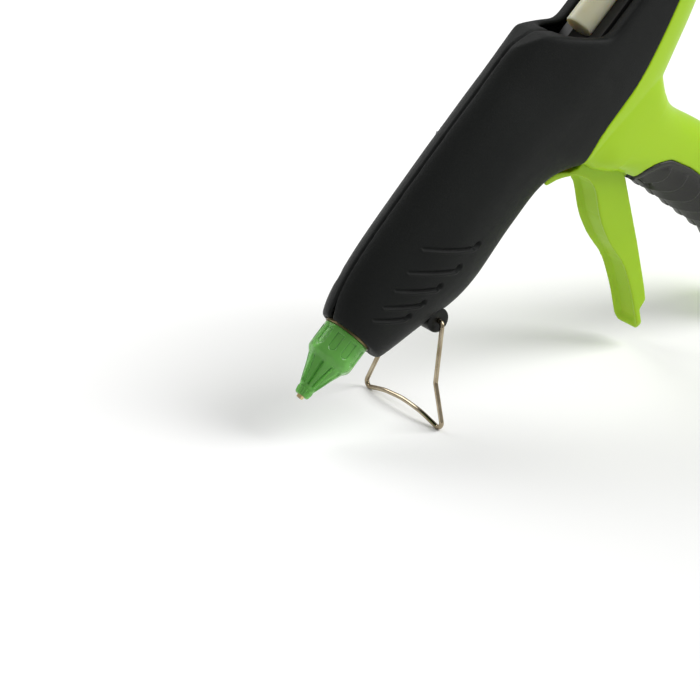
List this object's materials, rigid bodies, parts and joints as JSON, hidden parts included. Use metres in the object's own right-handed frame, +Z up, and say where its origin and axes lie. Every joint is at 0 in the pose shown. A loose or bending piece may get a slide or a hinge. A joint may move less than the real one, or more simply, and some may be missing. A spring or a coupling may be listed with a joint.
{
  "type": "hot glue gun",
  "caption": "Mains hot-melt glue gun for 11 mm sticks, standing on a folding wire stand, with a trigger-driven stick feed.",
  "frame": {"origin": "middle of the gun's footprint, on the surface it stands on", "axes": "+Z up; the nose points to -X; +Y to the right of the person holding it"},
  "size_m": [0.2766, 0.0486, 0.2186],
  "materials": {
    "body_black": "fine moulded grain",
    "handle_green": "satin gloss",
    "grip_rubber": "ribbed, slight sheen",
    "trigger_green": "satin gloss",
    "holder_black": "smooth",
    "stand_wire": "nickel plated",
    "brass": "turned",
    "cover_green": "translucent silicone",
    "steel": "plain",
    "ring_steel": "heat tinted",
    "chamber_aluminium": "cast",
    "heater_ceramic": "fired",
    "heater_film": "polyimide film",
    "support_plastic": "heat resistant",
    "sleeve_silicone": "silicone",
    "inner_black": "smooth",
    "stick_glue": "translucent, waxy",
    "lead_wire": "glass sleeved"
  },
  "bodies": {
    "housing": {"stand_holder": "holder_black", "body_shell_left": "body_black", "rear_shell_left": "handle_green", "handle_shell_left": "handle_green", "grip_pad_left": "grip_rubber", "body_shell_right": "body_black", "rear_shell_right": "handle_green", "handle_shell_right": "handle_green", "grip_pad_right": "grip_rubber", "housing_screws": "steel", "nozzle": "brass", "nozzle_cover": "cover_green", "nozzle_spring": "steel", "nose_ring": "ring_steel", "melt_chamber": "chamber_aluminium", "heater_film": "heater_film", "heating_plate": "heater_ceramic", "lower_contact": "brass", "upper_contact": "brass", "front_support": "support_plastic", "rear_support": "support_plastic", "inlet_sleeve": "sleeve_silicone", "sleeve_clip": "steel", "trigger_pin": "steel", "carriage_track": "inner_black", "return_spring": "steel", "stick_cradle": "inner_black", "stick_guide": "inner_black", "cord_gland": "inner_black", "terminal_block": "support_plastic", "heater_leads": "lead_wire"},
    "trigger": {"trigger": "trigger_green"},
    "carriage": {"feed_carriage": "inner_black", "claw_pin": "steel"},
    "claw": {"feed_claw": "steel"},
    "stick": {"glue_stick": "stick_glue"},
    "stand": {"wire_stand": "stand_wire"},
    "valve": {"nozzle_ball": "steel"}
  },
  "joints": [
    {"name": "trigger_pull", "type": "hinge", "parent": "housing", "child": "trigger", "pos_m": [0.00078, 0, 0.09569], "axis": [0, -1, 0], "range_deg": [0, 18], "stiffness_Nm_per_rad": 0.5, "springref_deg": -6.88, "deforming": ["return_spring"]},
    {"name": "stick_feed", "type": "slide", "parent": "housing", "child": "carriage", "axis": [-0.7133, 0, -0.7009], "range_m": [0, 0.013]},
    {"name": "claw_bite", "type": "hinge", "parent": "carriage", "child": "claw", "pos_m": [-0.03148, 0, 0.13493], "axis": [0, -1, 0], "range_deg": [0, 5.01]},
    {"name": "stick_slide", "type": "slide", "parent": "housing", "child": "stick", "axis": [-0.7133, 0, -0.7009], "range_m": [-0.055, 0.13]},
    {"name": "stand_fold", "type": "hinge", "parent": "housing", "child": "stand", "pos_m": [-0.08066, 0, 0.04089], "axis": [0, -1, 0], "range_deg": [0, 130]},
    {"name": "valve_open", "type": "slide", "parent": "housing", "child": "valve", "axis": [-0.7133, 0, -0.7009], "range_m": [0, 0.0012], "stiffness_N_per_m": 20, "springref_m": -0.001, "deforming": ["nozzle_spring"]}
  ],
  "couplings": [
    {"joint": "stick_feed", "follows": "trigger_pull", "m_per_rad": 0.041341},
    {"joint": "claw_bite", "follows": "trigger_pull", "ratio": 0.27778}
  ]
}
